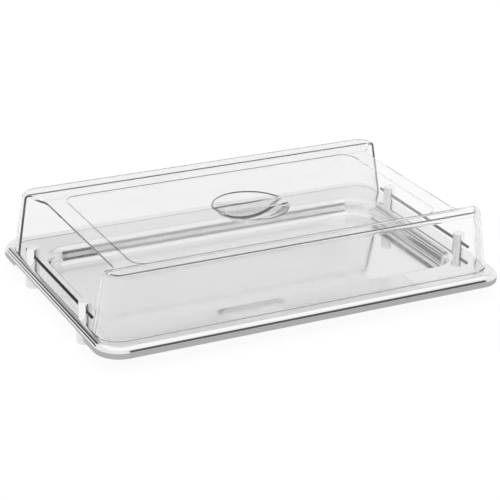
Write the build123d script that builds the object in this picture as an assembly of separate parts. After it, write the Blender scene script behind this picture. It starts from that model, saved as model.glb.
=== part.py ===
from build123d import *
import math
import os

# Food cover set for gastronorm 1/1, in millimetres: a clear hood on a shallow footed tray.
# The origin is on the table under the middle of the tray; +X runs along the length, +Z is up.

# Tray: one pressed sheet
TRAY_LENGTH = 545.0
TRAY_WIDTH = 358.0
TRAY_CORNER = 32.0
SHEET = 1.2
RIM_Z = 30.8
LIP_HEIGHT = 13.2
END_LIP_HEIGHT = 8.7
END_CUT_HALF_WIDTH = 115.0
END_CUT_SPREAD = 3.0
EDGE_BEND = 8.0
BASIN_DEPTH = 21.0
BASIN_HALF_LENGTH = 235.9
BASIN_HALF_WIDTH = 118.2
BASIN_CORNER = 34.0
BASIN_WALL_SLOPE = 0.185
FLOOR_BEND = 9.0
SHOULDER_BEND = 10.0

# Hood: clear moulding, heights above the rim
HOOD_WALL = 3.0
HOOD_GAP = 0.3
HOOD_HALF_LENGTH = 265.0
HOOD_HALF_WIDTH = 161.5
HOOD_CORNER = 30.0
HOOD_DRAFT = 0.16
RIDGE_HEIGHT = 76.2
PANEL_HEIGHT = 70.1
TOP_EDGE_RADIUS = 6.0
CREST_HALF_WIDTH = 128.0
VALLEY_HALF_WIDTH = 116.0
RIDGE_INNER_RADIUS = 6.5
MOUTH_X = 230.4
MOUTH_HALF_WIDTH = 127.0
MOUTH_CORNER = 25.0
MOUTH_DRAFT = 0.045
OUTLINE_HALF_LENGTH = 208.0
OUTLINE_HALF_WIDTH = 115.9
OUTLINE_CORNER = 19.8
OUTLINE_WIDTH = 1.6
OUTLINE_DEPTH = 0.9

# Grip in the middle of the hood: a round dish with a bar across it
DISH_RADIUS = 48.0
DISH_DEPTH = 18.5
BAR_HALF_WIDTH = 10.5

# End rails: a rod through two turned posts at each end, heights above the rim
RAIL_X = 258.3
ROD_DIAMETER = 4.0
ROD_HEIGHT = 11.2
ROD_HALF_LENGTH = 109.0
POST_Y = 86.2
POST_DIAMETER = 15.4
POST_HEIGHT = 22.6
POST_EDGE_RADIUS = 0.8
POST_BORE = 4.1

# Feet and screws
FOOT_DIAMETER = 21.0
FOOT_TOP_DIAMETER = 12.0
FOOT_SHOULDER_Z = 25.0
FOOT_EDGE_RADIUS = 2.5
FOOT_COUNTERBORE = 9.0
SCREW_SEAT_Z = 17.0
SCREW_DIAMETER = 3.8
SCREW_CLEARANCE = 4.4
SCREW_PILOT = 4.0
SCREW_TIP_Z = 37.0
PILOT_END_Z = 38.0
SCREW_HEAD_DIAMETER = 7.6
SCREW_HEAD_HEIGHT = 2.8
SCREW_SOCKET = 2.5
SCREW_SOCKET_DEPTH = 1.6

# Worked out from the values above
FLOOR_Z = RIM_Z - BASIN_DEPTH
HOOD_BASE_Z = RIM_Z + HOOD_GAP
RIDGE_Z = RIM_Z + RIDGE_HEIGHT
PANEL_Z = RIM_Z + PANEL_HEIGHT
ROD_Z = RIM_Z + ROD_HEIGHT
DISH_SPHERE = (DISH_RADIUS**2 + DISH_DEPTH**2) / (2 * DISH_DEPTH)
SIDES = {"left": -1, "right": 1}
ROWS = {"front": -1, "back": 1}


def rounded_plate(half_length, half_width, corner, z_low, z_high):
    """Upright prism with a rounded-rectangle plan."""
    plan = Plane.XY.offset(z_low) * RectangleRounded(2 * half_length, 2 * half_width, corner)
    return extrude(plan, z_high - z_low)


def narrowing_block(half_length, half_width, corner, z_start, z_end, slope):
    """Rounded-rectangle block that narrows on all sides from one height to another."""
    plan = Plane.XY.offset(z_start) * RectangleRounded(2 * half_length, 2 * half_width, corner)
    way = (0, 0, math.copysign(1, z_end - z_start))
    return extrude(plan, abs(z_end - z_start), dir=way, taper=math.degrees(math.atan(slope)))


def edges_at(solid, z):
    """Edges that lie flat at one height."""
    return [
        edge
        for edge in solid.edges()
        if abs(edge.bounding_box().min.Z - z) < 1e-3 and abs(edge.bounding_box().max.Z - z) < 1e-3
    ]


def upright(diameter, x, y, z_low, z_high):
    """Upright cylinder between two heights."""
    return Pos(x, y, (z_low + z_high) / 2) * Cylinder(diameter / 2, z_high - z_low)


def along_y(diameter, x, z, y_low, y_high):
    """Cylinder that lies along Y."""
    turned = Rot(90, 0, 0) * Cylinder(diameter / 2, y_high - y_low)
    return Pos(x, (y_low + y_high) / 2, z) * turned


def tray_rim():
    """Flat rim plate with the lip turned down round its edge."""
    half_length = TRAY_LENGTH / 2
    half_width = TRAY_WIDTH / 2
    lip_z = RIM_Z - LIP_HEIGHT
    outside = rounded_plate(half_length, half_width, TRAY_CORNER, lip_z, RIM_Z)
    outside = fillet(edges_at(outside, RIM_Z), EDGE_BEND)
    under_z = RIM_Z - SHEET
    inside = rounded_plate(
        half_length - SHEET, half_width - SHEET, TRAY_CORNER - SHEET, lip_z - SHEET, under_z
    )
    inside = fillet(edges_at(inside, under_z), EDGE_BEND - SHEET)
    return outside - inside


def basin_block(offset, drop, floor_bend):
    """Solid of the basin's hollow, grown outward by an offset and lowered by a drop."""
    floor_z = FLOOR_Z - drop
    block = narrowing_block(
        BASIN_HALF_LENGTH + offset,
        BASIN_HALF_WIDTH + offset,
        BASIN_CORNER + offset,
        RIM_Z - drop,
        floor_z,
        BASIN_WALL_SLOPE,
    )
    return fillet(edges_at(block, floor_z), floor_bend)


def end_cut():
    """Block that shortens the lip at one end, wider towards the table."""
    low = RIM_Z - LIP_HEIGHT
    high = RIM_Z - END_LIP_HEIGHT
    wide = END_CUT_HALF_WIDTH + END_CUT_SPREAD
    with BuildSketch(Plane.YZ) as section:
        Polygon(
            (-wide, low),
            (wide, low),
            (END_CUT_HALF_WIDTH, high),
            (-END_CUT_HALF_WIDTH, high),
            align=None,
        )
    return extrude(section.sketch, EDGE_BEND, both=True)


def basin_edges(tray, z):
    """Edges round the basin's top at one height."""
    reach_x = BASIN_HALF_LENGTH + 2 * SHEET
    reach_y = BASIN_HALF_WIDTH + 2 * SHEET
    return [
        edge
        for edge in edges_at(tray, z)
        if abs(edge.center().X) < reach_x and abs(edge.center().Y) < reach_y
    ]


def make_tray():
    """Pressed sheet tray: rim, lip, basin, end cut-outs and four screw holes."""
    growth = SHEET * (math.hypot(1, BASIN_WALL_SLOPE) - BASIN_WALL_SLOPE)
    tray = tray_rim() + basin_block(growth, SHEET, FLOOR_BEND + SHEET)
    tray = fillet(basin_edges(tray, RIM_Z - SHEET), SHOULDER_BEND - SHEET)
    tray -= basin_block(0, 0, FLOOR_BEND)
    tray = fillet(basin_edges(tray, RIM_Z), SHOULDER_BEND)
    for side in SIDES.values():
        tray -= Pos(side * TRAY_LENGTH / 2, 0, 0) * end_cut()
        for row in ROWS.values():
            tray -= upright(SCREW_CLEARANCE, side * RAIL_X, row * POST_Y, RIM_Z - LIP_HEIGHT, RIM_Z + SHEET)
    return tray


def trough(offset):
    """Valley between the two ridges, sunk by an offset: two arcs on each side down to a flat bottom."""
    top = RIDGE_Z - offset
    bottom = PANEL_Z - offset
    drop = RIDGE_Z - PANEL_Z
    run = CREST_HALF_WIDTH - VALLEY_HALF_WIDTH
    both_radii = (drop**2 + run**2) / (2 * drop)
    upper = RIDGE_INNER_RADIUS
    lower = both_radii - upper
    angle = math.asin(run / both_radii)
    upper -= offset
    lower += offset
    join_y = CREST_HALF_WIDTH - upper * math.sin(angle)
    join_z = top - upper * (1 - math.cos(angle))
    half = angle / 2
    upper_mid = (
        CREST_HALF_WIDTH - upper * math.sin(half),
        top - upper * (1 - math.cos(half)),
    )
    lower_mid = (
        VALLEY_HALF_WIDTH + lower * math.sin(half),
        bottom + lower * (1 - math.cos(half)),
    )
    above = RIDGE_Z + TOP_EDGE_RADIUS
    with BuildSketch(Plane.YZ) as section:
        with BuildLine():
            for row in ROWS.values():
                foot = (row * VALLEY_HALF_WIDTH, bottom)
                Line((0, bottom), foot)
                join = (row * join_y, join_z)
                crest = (row * CREST_HALF_WIDTH, top)
                ThreePointArc(foot, (row * lower_mid[0], lower_mid[1]), join)
                ThreePointArc(join, (row * upper_mid[0], upper_mid[1]), crest)
                Line(crest, (row * CREST_HALF_WIDTH, above))
                Line((row * CREST_HALF_WIDTH, above), (0, above))
        make_face()
    return extrude(section.sketch, HOOD_HALF_LENGTH, both=True)


def hood_block(offset):
    """Closed block of the hood's outside, shrunk inward by an offset."""
    top_z = RIDGE_Z - offset
    inset = offset * math.hypot(1, HOOD_DRAFT)
    block = narrowing_block(
        HOOD_HALF_LENGTH - inset,
        HOOD_HALF_WIDTH - inset,
        HOOD_CORNER - inset,
        HOOD_BASE_Z,
        top_z,
        HOOD_DRAFT,
    )
    block = fillet(edges_at(block, top_z), TOP_EDGE_RADIUS - offset)
    return block - trough(offset)


def mouth(side):
    """Opening cut through one end of the hood, from the panel's edge outward and a little narrower below."""
    half_length = HOOD_HALF_LENGTH - MOUTH_X + 2 * MOUTH_CORNER
    middle = side * (MOUTH_X + half_length)
    cut = narrowing_block(half_length, MOUTH_HALF_WIDTH, MOUTH_CORNER, RIDGE_Z, 0, MOUTH_DRAFT)
    return Pos(middle, 0, 0) * cut


def grip_ball(radius):
    """Ball that sinks the grip's dish into the top panel, cut off at the panel."""
    centre_z = PANEL_Z - DISH_DEPTH + DISH_SPHERE
    ball = Pos(0, 0, centre_z) * Sphere(radius)
    size = 4 * DISH_SPHERE
    return ball - Pos(0, 0, PANEL_Z + size / 2) * Box(size, size, size)


def grip_slab(half_width, top_z):
    """Slab along the grip's bar, from below the dish up to a height."""
    low = PANEL_Z - 2 * DISH_DEPTH
    slab = Box(2 * DISH_SPHERE, 2 * half_width, top_z - low)
    return Pos(0, 0, (low + top_z) / 2) * slab


def outline_groove():
    """Thin groove that draws a rounded rectangle on the top panel."""
    low = PANEL_Z - OUTLINE_DEPTH
    outside = rounded_plate(OUTLINE_HALF_LENGTH, OUTLINE_HALF_WIDTH, OUTLINE_CORNER, low, RIDGE_Z)
    inside = rounded_plate(
        OUTLINE_HALF_LENGTH - OUTLINE_WIDTH,
        OUTLINE_HALF_WIDTH - OUTLINE_WIDTH,
        OUTLINE_CORNER - OUTLINE_WIDTH,
        low,
        RIDGE_Z,
    )
    return outside - inside


def make_hood():
    """Clear hood: shell with two ridges, open ends, an outlined top panel and a dished grip."""
    hood = hood_block(0) - hood_block(HOOD_WALL) - outline_groove()
    bulge = grip_ball(DISH_SPHERE + HOOD_WALL)
    dish = grip_ball(DISH_SPHERE) - grip_slab(BAR_HALF_WIDTH, RIDGE_Z)
    hollow = grip_slab(BAR_HALF_WIDTH - HOOD_WALL, PANEL_Z - HOOD_WALL)
    hood = hood + bulge - dish - hollow
    for side in SIDES.values():
        hood -= mouth(side)
    return hood


def make_rod(side):
    """Rail rod with rounded ends."""
    rod = along_y(ROD_DIAMETER, side * RAIL_X, ROD_Z, -ROD_HALF_LENGTH, ROD_HALF_LENGTH)
    ends = [edge for edge in rod.edges() if edge.geom_type == GeomType.CIRCLE]
    return fillet(ends, ROD_DIAMETER / 4)


def make_post(side, row):
    """Turned post with a cross bore for the rod and a hole for its screw from below."""
    x = side * RAIL_X
    y = row * POST_Y
    top_z = RIM_Z + POST_HEIGHT
    post = upright(POST_DIAMETER, x, y, RIM_Z, top_z)
    post = fillet(edges_at(post, top_z), POST_EDGE_RADIUS)
    post -= along_y(POST_BORE, x, ROD_Z, y - POST_DIAMETER, y + POST_DIAMETER)
    return post - upright(SCREW_PILOT, x, y, RIM_Z, PILOT_END_Z)


def make_foot(side, row):
    """Round foot, narrowed under the rim, with a stepped bore for its screw."""
    x = side * RAIL_X
    y = row * POST_Y
    top_z = RIM_Z - SHEET
    foot = upright(FOOT_DIAMETER, x, y, 0, FOOT_SHOULDER_Z)
    foot = fillet(edges_at(foot, 0), FOOT_EDGE_RADIUS)
    neck = Cone(FOOT_DIAMETER / 2, FOOT_TOP_DIAMETER / 2, top_z - FOOT_SHOULDER_Z)
    foot += Pos(x, y, (FOOT_SHOULDER_Z + top_z) / 2) * neck
    foot -= upright(SCREW_CLEARANCE, x, y, 0, top_z)
    return foot - upright(FOOT_COUNTERBORE, x, y, 0, SCREW_SEAT_Z)


def make_screw(side, row):
    """Pan-head screw with a hexagon socket, pointing up."""
    x = side * RAIL_X
    y = row * POST_Y
    head_z = SCREW_SEAT_Z - SCREW_HEAD_HEIGHT
    head = upright(SCREW_HEAD_DIAMETER, x, y, head_z, SCREW_SEAT_Z)
    head = fillet(edges_at(head, head_z), SCREW_HEAD_HEIGHT / 3)
    screw = head + upright(SCREW_DIAMETER, x, y, SCREW_SEAT_Z, SCREW_TIP_Z)
    screw = chamfer(edges_at(screw, SCREW_TIP_Z), SCREW_DIAMETER / 4)
    socket = Plane.XY.offset(head_z) * RegularPolygon(SCREW_SOCKET / 2, 6, major_radius=False)
    return screw - Pos(x, y, 0) * extrude(socket, SCREW_SOCKET_DEPTH)


def main():
    os.makedirs("parts", exist_ok=True)
    nodes = {"tray": make_tray(), "hood": make_hood()}
    screws = []
    for side_name, side in SIDES.items():
        nodes[f"{side_name}_rail_rod"] = make_rod(side)
        for row_name, row in ROWS.items():
            place = f"{row_name}_{side_name}"
            nodes[f"rail_post_{place}"] = make_post(side, row)
            nodes[f"foot_{place}"] = make_foot(side, row)
            screws.append(make_screw(side, row))
    nodes["post_screws"] = Compound(children=screws)
    for name, shape in nodes.items():
        export_step(shape, f"parts/{name}.step")


main()
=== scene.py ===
import math

import bpy
from mathutils import Matrix, Vector


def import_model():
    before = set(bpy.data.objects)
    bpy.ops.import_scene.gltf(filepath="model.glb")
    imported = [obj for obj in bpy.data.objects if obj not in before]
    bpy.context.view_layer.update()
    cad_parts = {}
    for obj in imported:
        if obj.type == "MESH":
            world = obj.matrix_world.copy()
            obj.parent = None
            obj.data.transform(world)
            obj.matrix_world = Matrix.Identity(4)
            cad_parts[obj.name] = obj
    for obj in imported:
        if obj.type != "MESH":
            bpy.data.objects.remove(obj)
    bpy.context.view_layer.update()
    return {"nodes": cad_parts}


# Camera, measured from a point on the tray's axis just under the rim, in metres
ORBIT_CENTRE = Vector((0.0, 0.0, 0.02666))
CAMERA_AZIMUTH = math.radians(-27.408)
CAMERA_ELEVATION = math.radians(23.374)
CAMERA_ROLL = math.radians(1.550)
CAMERA_DISTANCE = 2.2303
CAMERA_RIGHT = 0.00127
CAMERA_UP = 0.01142
FOCAL_PIXELS = 1753.0
PICTURE_WIDTH = 500.0
SENSOR_WIDTH = 36.0

# Table
FLOOR_SIZE = 12.0
FLOOR_COLOUR = (0.15, 0.15, 0.15, 1.0)
FLOOR_GLOW_COLOUR = (1.0, 1.0, 1.0, 1.0)
FLOOR_GLOW = 0.87

# White tent with a ceiling and openings, in degrees: turn goes from the right end (0) towards the front (90)
TENT_LEVEL = 0.97
PATCHES = [
    {"turn": (-190, 190), "height": (48, 100), "edge": 3, "level": 1.12},
    {"turn": (-115, -20), "height": (34, 48), "edge": 3, "level": 0.80},
    {"turn": (48, 76), "height": (-10, 33), "edge": 3, "level": 0.10},
    {"turn": (-105, -79), "height": (29, 39), "edge": 2, "level": 0.40},
    {"turn": (-123, -102), "height": (21, 36), "edge": 2, "level": 0.06},
    {"turn": (-136, -119), "height": (-10, 14), "edge": 2, "level": 0.02},
]

# Steels: colour, roughness limits of the polishing haze and strength of the surface wave
TRAY_FINISH = {"colour": (0.84, 0.84, 0.84, 1.0), "rough": (0.08, 0.12), "wave": 0.03}
POST_FINISH = {"colour": (0.88, 0.88, 0.88, 1.0), "rough": (0.02, 0.06), "wave": 0.01}
# Near-black rod colour: painted dark reflection of the studio on the polished steel rods
ROD_FINISH_PAINTED_DARK = {"colour": (0.05, 0.05, 0.05, 1.0), "rough": (0.04, 0.10), "wave": 0.01}
SCREW_FINISH = {"colour": (0.66, 0.66, 0.66, 1.0), "rough": (0.20, 0.35), "wave": 0.10}
STEEL_HAZE_SCALE = 90.0
STEEL_HAZE_DETAIL = 3.0
STEEL_WAVE_SCALE = 22.0
STEEL_WAVE_DEPTH = 0.001

# Satin lip of the tray, in metres, whose darker base colour is a painted reflection of the shaded table in
# front
LIP_START_X = 0.250
LIP_START_Y = 0.140
LIP_POLISHED_Z = 0.0248
LIP_SATIN_AND_PAINTED_Z = 0.0242
LIP_ROUGHNESS = 0.5
# Painted reflection: the lip's darker base colour stands in for the shaded table mirrored in front
LIP_PAINTED_REFLECTION_COLOUR = (0.46, 0.46, 0.46, 1.0)

# Clear plastic of the hood
CLEAR_COLOUR = (0.98, 0.983, 0.983, 1.0)
CLEAR_TRANSMISSION = 0.94
CLEAR_INDEX = 1.5
CLEAR_ROUGH = (0.0, 0.02)
CLEAR_HAZE_SCALE = 60.0
CLEAR_HAZE_DETAIL = 2.0
CLEAR_WAVE_SCALE = 14.0
CLEAR_WAVE = 0.02
CLEAR_WAVE_DEPTH = 0.001

# Pale plastic of the feet
FOOT_LIGHT = (0.84, 0.84, 0.83, 1.0)
FOOT_DARK = (0.78, 0.78, 0.77, 1.0)
FOOT_ROUGH = (0.35, 0.5)
FOOT_TONE_SCALE = 120.0
FOOT_TONE_DETAIL = 4.0
FOOT_GRAIN_SCALE = 1500.0
FOOT_GRAIN_DETAIL = 2.0
FOOT_GRAIN = 0.15
FOOT_GRAIN_DEPTH = 0.0001

WAVE_DETAIL = 1.0
NOISE_LOW = 0.3
NOISE_HIGH = 0.7

TO_RIGHT = Vector((1, 0, 0))
TO_BACK = Vector((0, 1, 0))
TO_FRONT = Vector((0, -1, 0))
UPWARD = Vector((0, 0, 1))

POSTS = [f"rail_post_{row}_{side}" for side in ("left", "right") for row in ("front", "back")]
RODS = ["left_rail_rod", "right_rail_rod"]
FEET = [f"foot_{row}_{side}" for side in ("left", "right") for row in ("front", "back")]


def new_material(name):
    """Empty node material with one principled shader."""
    material = bpy.data.materials.new(name)
    material.use_nodes = True
    return material, material.node_tree.nodes["Principled BSDF"]


def noise(tree, scale, detail):
    """Noise in object coordinates, so it keeps its size on every piece."""
    place = tree.nodes.new("ShaderNodeTexCoord")
    texture = tree.nodes.new("ShaderNodeTexNoise")
    texture.inputs["Scale"].default_value = scale
    texture.inputs["Detail"].default_value = detail
    tree.links.new(place.outputs["Object"], texture.inputs["Vector"])
    return texture.outputs["Fac"]


def roughen(tree, shader, source, limits):
    """Roughness from a noise, stretched between two limits."""
    ranges = tree.nodes.new("ShaderNodeMapRange")
    ranges.inputs["From Min"].default_value = NOISE_LOW
    ranges.inputs["From Max"].default_value = NOISE_HIGH
    ranges.inputs["To Min"].default_value = limits[0]
    ranges.inputs["To Max"].default_value = limits[1]
    tree.links.new(source, ranges.inputs["Value"])
    tree.links.new(ranges.outputs["Result"], shader.inputs["Roughness"])


def bump(tree, shader, source, strength, depth):
    """Surface relief from a noise."""
    relief = tree.nodes.new("ShaderNodeBump")
    relief.inputs["Strength"].default_value = strength
    relief.inputs["Distance"].default_value = depth
    tree.links.new(source, relief.inputs["Height"])
    tree.links.new(relief.outputs["Normal"], shader.inputs["Normal"])


def blend(tree, shader, source, start, end):
    """Base colour that runs from one colour to another."""
    ramp = tree.nodes.new("ShaderNodeValToRGB")
    ramp.color_ramp.elements[0].color = start
    ramp.color_ramp.elements[1].color = end
    tree.links.new(source, ramp.inputs["Fac"])
    tree.links.new(ramp.outputs["Color"], shader.inputs["Base Color"])


def maths(tree, operation, *values):
    """Maths node on one or two values, each a socket or a number."""
    node = tree.nodes.new("ShaderNodeMath")
    node.operation = operation
    for slot, value in zip(node.inputs, values):
        if isinstance(value, bpy.types.NodeSocket):
            tree.links.new(value, slot)
        else:
            slot.default_value = value
    return node.outputs[0]


def component(tree, direction, axis):
    """Part of a direction along an axis."""
    node = tree.nodes.new("ShaderNodeVectorMath")
    node.operation = "DOT_PRODUCT"
    node.inputs[1].default_value = axis
    tree.links.new(direction, node.inputs[0])
    return node.outputs["Value"]


def polished_steel(name, finish):
    """Polished sheet or rod: faint polishing haze and a slight wave."""
    material, shader = new_material(name)
    tree = material.node_tree
    shader.inputs["Base Color"].default_value = finish["colour"]
    shader.inputs["Metallic"].default_value = 1.0
    roughen(tree, shader, noise(tree, STEEL_HAZE_SCALE, STEEL_HAZE_DETAIL), finish["rough"])
    wave = noise(tree, STEEL_WAVE_SCALE, WAVE_DETAIL)
    bump(tree, shader, wave, finish["wave"], STEEL_WAVE_DEPTH)
    return material


def lip_satin_and_painted_reflection(tree):
    """One on the tray's turned-down lip and zero elsewhere, for the lip's satin roughness and for its
    painted reflection in the base colour.
    """
    place = tree.nodes.new("ShaderNodeTexCoord").outputs["Object"]
    along = maths(tree, "ABSOLUTE", component(tree, place, TO_RIGHT))
    across = maths(tree, "ABSOLUTE", component(tree, place, TO_BACK))
    past_end = maths(tree, "GREATER_THAN", along, LIP_START_X)
    past_side = maths(tree, "GREATER_THAN", across, LIP_START_Y)
    outer = maths(tree, "MAXIMUM", past_end, past_side)
    satin_and_reflection_ramp = tree.nodes.new("ShaderNodeMapRange")
    satin_and_reflection_ramp.inputs["From Min"].default_value = LIP_POLISHED_Z
    satin_and_reflection_ramp.inputs["From Max"].default_value = LIP_SATIN_AND_PAINTED_Z
    tree.links.new(component(tree, place, UPWARD), satin_and_reflection_ramp.inputs["Value"])
    return maths(tree, "MULTIPLY", outer, satin_and_reflection_ramp.outputs["Result"])


def tray_steel():
    """Polished sheet whose turned-down lip is left satin, with a darker base colour there that is a painted
    reflection of the shaded table in front.
    """
    material = polished_steel("tray_steel", TRAY_FINISH)
    tree = material.node_tree
    shader = tree.nodes["Principled BSDF"]
    polish = shader.inputs["Roughness"].links[0].from_socket
    lip_satin_and_reflection_mask = lip_satin_and_painted_reflection(tree)
    dull = maths(tree, "MULTIPLY", lip_satin_and_reflection_mask, LIP_ROUGHNESS)
    tree.links.new(maths(tree, "MAXIMUM", polish, dull), shader.inputs["Roughness"])
    # Darker lip base colour: painted reflection of the shaded table in front
    blend(tree, shader, lip_satin_and_reflection_mask, TRAY_FINISH["colour"], LIP_PAINTED_REFLECTION_COLOUR)
    return material


def clear_plastic():
    """Water-clear moulding with a trace of surface haze and flow waves."""
    material, shader = new_material("clear_plastic")
    tree = material.node_tree
    shader.inputs["Base Color"].default_value = CLEAR_COLOUR
    shader.inputs["Transmission Weight"].default_value = CLEAR_TRANSMISSION
    shader.inputs["IOR"].default_value = CLEAR_INDEX
    roughen(tree, shader, noise(tree, CLEAR_HAZE_SCALE, CLEAR_HAZE_DETAIL), CLEAR_ROUGH)
    bump(tree, shader, noise(tree, CLEAR_WAVE_SCALE, WAVE_DETAIL), CLEAR_WAVE, CLEAR_WAVE_DEPTH)
    return material


def foot_plastic():
    """Pale moulded plastic with a fine eggshell grain."""
    material, shader = new_material("foot_plastic")
    tree = material.node_tree
    tone = noise(tree, FOOT_TONE_SCALE, FOOT_TONE_DETAIL)
    blend(tree, shader, tone, FOOT_DARK, FOOT_LIGHT)
    roughen(tree, shader, tone, FOOT_ROUGH)
    bump(tree, shader, noise(tree, FOOT_GRAIN_SCALE, FOOT_GRAIN_DETAIL), FOOT_GRAIN, FOOT_GRAIN_DEPTH)
    return material


def dress(frame, names, material):
    """Gives CAD nodes one material."""
    for name in names:
        slots = frame["nodes"][name].data.materials
        slots.clear()
        slots.append(material)


def add_camera():
    """Camera that stands where the photographer stood."""
    level = math.cos(CAMERA_ELEVATION)
    back = Vector((
        math.sin(CAMERA_AZIMUTH) * level,
        -math.cos(CAMERA_AZIMUTH) * level,
        math.sin(CAMERA_ELEVATION),
    ))
    flat_right = back.cross(UPWARD).normalized() * -1
    flat_up = back.cross(flat_right)
    right = flat_right * math.cos(CAMERA_ROLL) + flat_up * math.sin(CAMERA_ROLL)
    up = back.cross(right)
    eye = ORBIT_CENTRE + back * CAMERA_DISTANCE + right * CAMERA_RIGHT + up * CAMERA_UP
    lens = bpy.data.cameras.new("camera")
    lens.sensor_width = SENSOR_WIDTH
    lens.lens = FOCAL_PIXELS / PICTURE_WIDTH * SENSOR_WIDTH
    camera = bpy.data.objects.new("camera", lens)
    turn = Matrix((right, up, back)).transposed().to_4x4()
    camera.matrix_world = Matrix.Translation(eye) @ turn
    bpy.context.scene.collection.objects.link(camera)
    bpy.context.scene.camera = camera


def add_floor():
    """White table that glows a little and keeps a soft shadow."""
    mesh = bpy.data.meshes.new("floor")
    half = FLOOR_SIZE / 2
    corners = [(-half, -half, 0), (half, -half, 0), (half, half, 0), (-half, half, 0)]
    mesh.from_pydata(corners, [], [(0, 1, 2, 3)])
    floor = bpy.data.objects.new("floor", mesh)
    bpy.context.scene.collection.objects.link(floor)
    material, shader = new_material("floor")
    shader.inputs["Base Color"].default_value = FLOOR_COLOUR
    shader.inputs["Roughness"].default_value = 1.0
    shader.inputs["Specular IOR Level"].default_value = 0.0
    shader.inputs["Emission Color"].default_value = FLOOR_GLOW_COLOUR
    shader.inputs["Emission Strength"].default_value = FLOOR_GLOW
    mesh.materials.append(material)


def between(tree, value, limits, edge):
    """One inside two limits and zero outside, with a soft edge, all in degrees."""
    parts = []
    for limit, way in zip(limits, (1, -1)):
        slope = tree.nodes.new("ShaderNodeMapRange")
        slope.interpolation_type = "SMOOTHSTEP"
        slope.inputs["From Min"].default_value = math.radians(limit - way * edge)
        slope.inputs["From Max"].default_value = math.radians(limit + way * edge)
        tree.links.new(value, slope.inputs["Value"])
        parts.append(slope.outputs["Result"])
    return maths(tree, "MULTIPLY", *parts)


def add_world():
    """White tent with a bright ceiling and darker openings, each laid over those before it."""
    world = bpy.data.worlds.new("studio")
    bpy.context.scene.world = world
    world.use_nodes = True
    tree = world.node_tree
    shade = tree.nodes["Background"]
    direction = tree.nodes.new("ShaderNodeTexCoord").outputs["Generated"]
    turn = maths(tree, "ARCTAN2", component(tree, direction, TO_FRONT), component(tree, direction, TO_RIGHT))
    height = maths(tree, "ARCSINE", component(tree, direction, UPWARD))
    light = TENT_LEVEL
    for patch in PATCHES:
        inside_turn = between(tree, turn, patch["turn"], patch["edge"])
        inside_height = between(tree, height, patch["height"], patch["edge"])
        inside = maths(tree, "MULTIPLY", inside_turn, inside_height)
        outside = maths(tree, "SUBTRACT", 1.0, inside)
        kept = maths(tree, "MULTIPLY", outside, light)
        light = maths(tree, "ADD", kept, maths(tree, "MULTIPLY", inside, patch["level"]))
    tree.links.new(light, shade.inputs["Color"])
    shade.inputs["Strength"].default_value = 1.0


def main():
    """Dresses the pieces and sets up the camera and the studio."""
    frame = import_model()
    bpy.context.scene.view_settings.view_transform = "Standard"
    dress(frame, ["tray"], tray_steel())
    dress(frame, POSTS, polished_steel("post_steel", POST_FINISH))
    # The rods' near-black colour is a painted dark reflection
    dress(frame, RODS, polished_steel("rod_steel", ROD_FINISH_PAINTED_DARK))
    dress(frame, ["post_screws"], polished_steel("screw_steel", SCREW_FINISH))
    dress(frame, ["hood"], clear_plastic())
    dress(frame, FEET, foot_plastic())
    add_camera()
    add_floor()
    add_world()


main()
